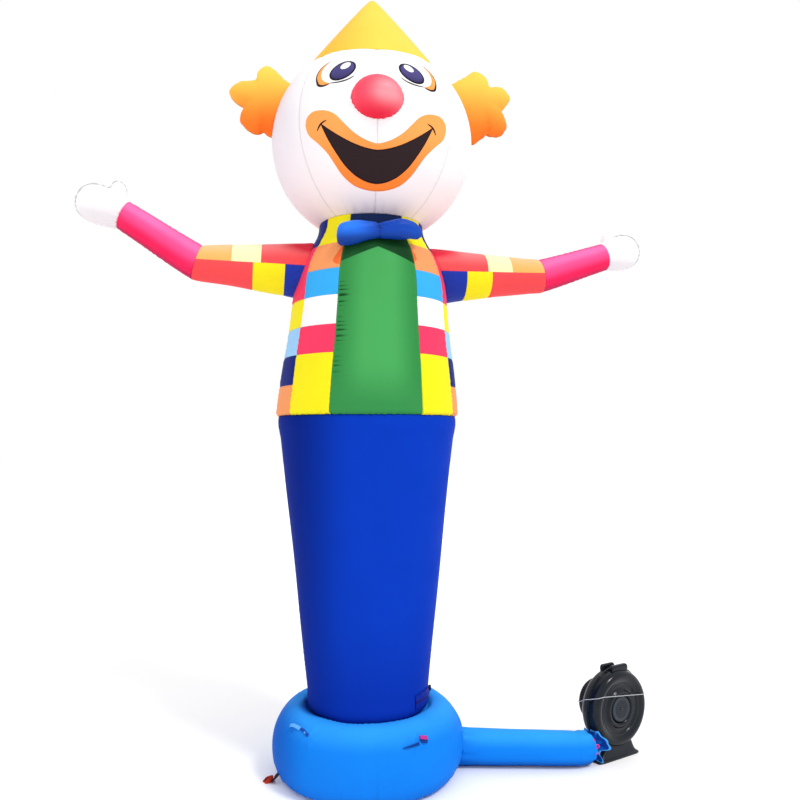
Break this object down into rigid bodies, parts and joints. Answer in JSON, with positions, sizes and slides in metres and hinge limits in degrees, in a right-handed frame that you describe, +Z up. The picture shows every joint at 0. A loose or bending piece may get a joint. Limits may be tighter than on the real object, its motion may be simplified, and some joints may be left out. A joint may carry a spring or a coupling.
{
  "type": "inflatable air dancer with blower",
  "caption": "Inflatable clown figure with outstretched arms and a pointed hat, standing on a puffed ring base that an air duct joins to a floor blower.",
  "frame": {"origin": "middle of the base ring's flat underside, on the ground", "axes": "+Z up along the figure, -Y the way the face looks, +X towards the air duct and the blower"},
  "size_m": [2.6254, 0.9789, 3.506],
  "materials": {
    "azure_cloth": "smooth coated nylon, soft sheen",
    "royal_cloth": "smooth coated nylon, soft sheen",
    "patchwork_cloth": "patches of yellow, orange, sky blue, white, crimson and navy nylon",
    "green_cloth": "smooth nylon, puckered at its sewn edge",
    "white_cloth": "thin white nylon, lets some light through",
    "pink_cloth": "smooth nylon",
    "orange_cloth": "nylon printed yellow to orange",
    "yellow_cloth": "nylon printed light to deep yellow",
    "red_cloth": "nylon printed pink to red",
    "tie_blue_cloth": "smooth nylon",
    "magenta_cord": "braided tie cord",
    "grey_cord": "thin cord",
    "dark_webbing": "narrow woven webbing",
    "orange_webbing": "folded tab of webbing",
    "black_plastic": "moulded, glossy",
    "grey_plastic": "moulded, matt"
  },
  "bodies": {
    "root": {"air_duct": "azure_cloth", "base_ring": "azure_cloth", "blower_cord": "grey_cord", "blower_cord_gland": "grey_plastic", "blower_foot": "black_plastic", "blower_housing": "black_plastic", "blower_lug_back": "black_plastic", "blower_lug_front": "black_plastic", "blower_motor_cap": "black_plastic", "blower_nozzle": "black_plastic", "blower_vent": "grey_plastic", "bow_tie": "tie_blue_cloth", "duct_gather": "azure_cloth", "duct_tie": "magenta_cord", "forearm_left": "pink_cloth", "forearm_right": "pink_cloth", "ground_strap": "dark_webbing", "ground_tab_orange": "orange_webbing", "hair_tuft_left": "orange_cloth", "hair_tuft_right": "orange_cloth", "hat_cone": "yellow_cloth", "head_ball": "white_cloth", "leg_column": "royal_cloth", "mitten_left": "white_cloth", "mitten_right": "white_cloth", "nose": "red_cloth", "ring_loop_blue": "azure_cloth", "ring_tab_pink": "pink_cloth", "sleeve_left": "patchwork_cloth", "sleeve_right": "patchwork_cloth", "torso_coat": "patchwork_cloth", "vent_patch": "dark_webbing", "vent_puller": "dark_webbing", "vest_panel": "green_cloth"}
  },
  "joints": []
}
